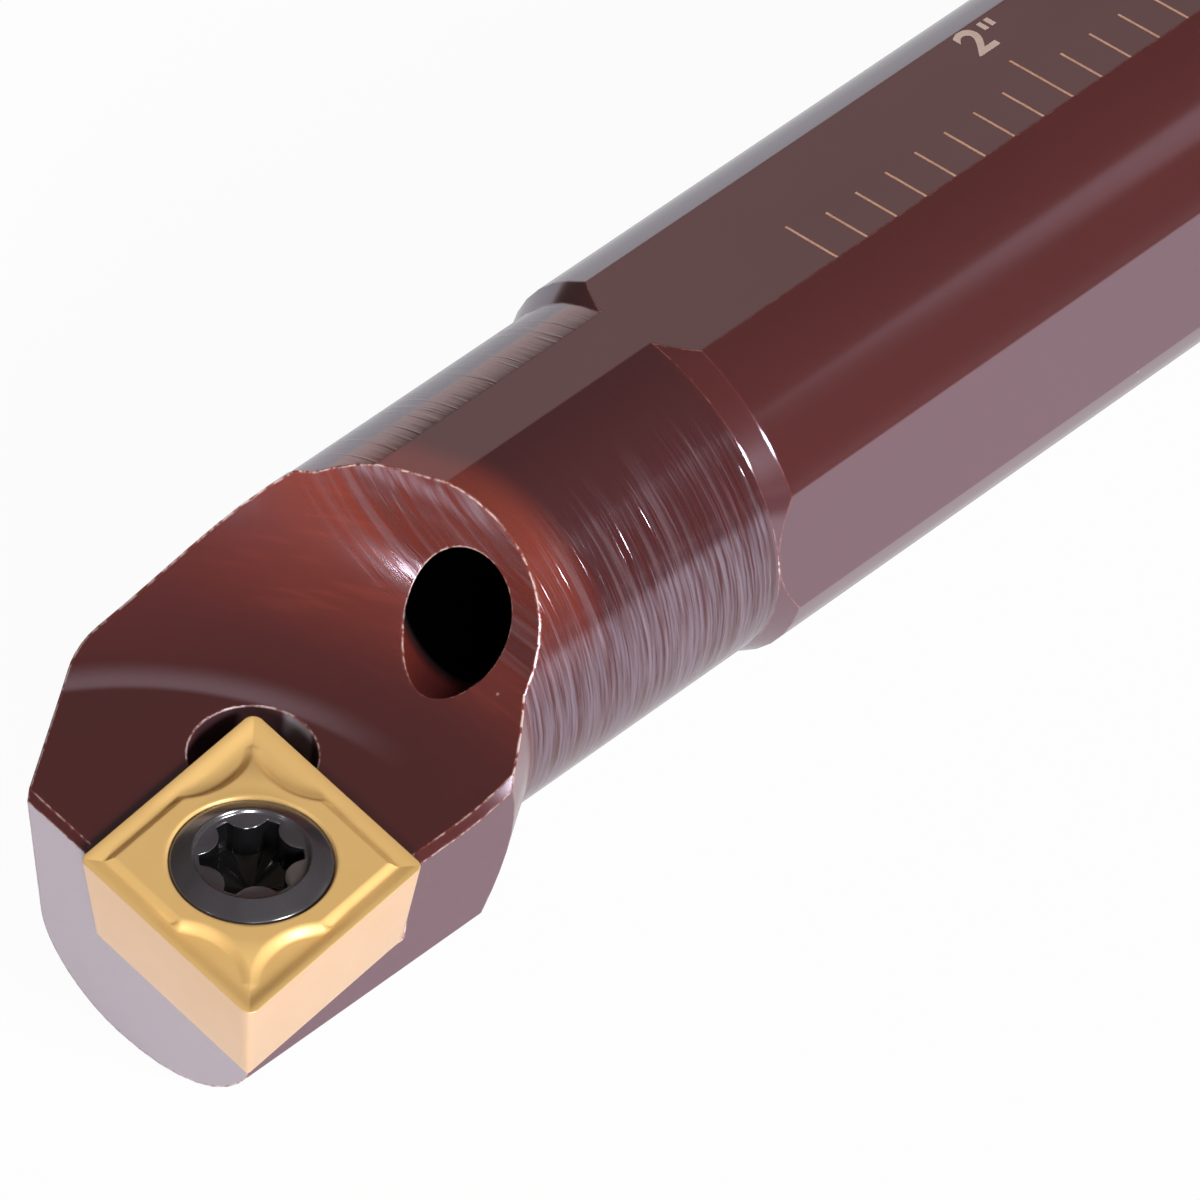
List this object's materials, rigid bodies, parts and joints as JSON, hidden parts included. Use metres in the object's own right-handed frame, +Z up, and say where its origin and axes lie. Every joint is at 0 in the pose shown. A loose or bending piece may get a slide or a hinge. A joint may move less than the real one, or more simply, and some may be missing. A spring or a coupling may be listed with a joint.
{
  "type": "boring bar",
  "caption": "Slim steel lathe tool: long round shank with flats, waisted neck and an off-centre head that carries a screwed-on rhombic cutting insert.",
  "frame": {"origin": "middle of the shank's rear face, on the shank's axis, at the mouth of the coolant port", "axes": "+X along the bar towards the cutting head, +Z up out of the top flat on the rake side, +Y towards the side the cutting corner stands out on"},
  "size_m": [0.2032, 0.0185, 0.016],
  "materials": {
    "coated_steel": "glossy brown-burgundy coat over turned and milled steel",
    "coated_carbide": "satin gold hard coat over sintered carbide",
    "black_steel": "black oxide, semi-gloss"
  },
  "bodies": {
    "root": {"bar_body": "coated_steel", "insert": "coated_carbide", "insert_screw": "black_steel"}
  },
  "joints": []
}
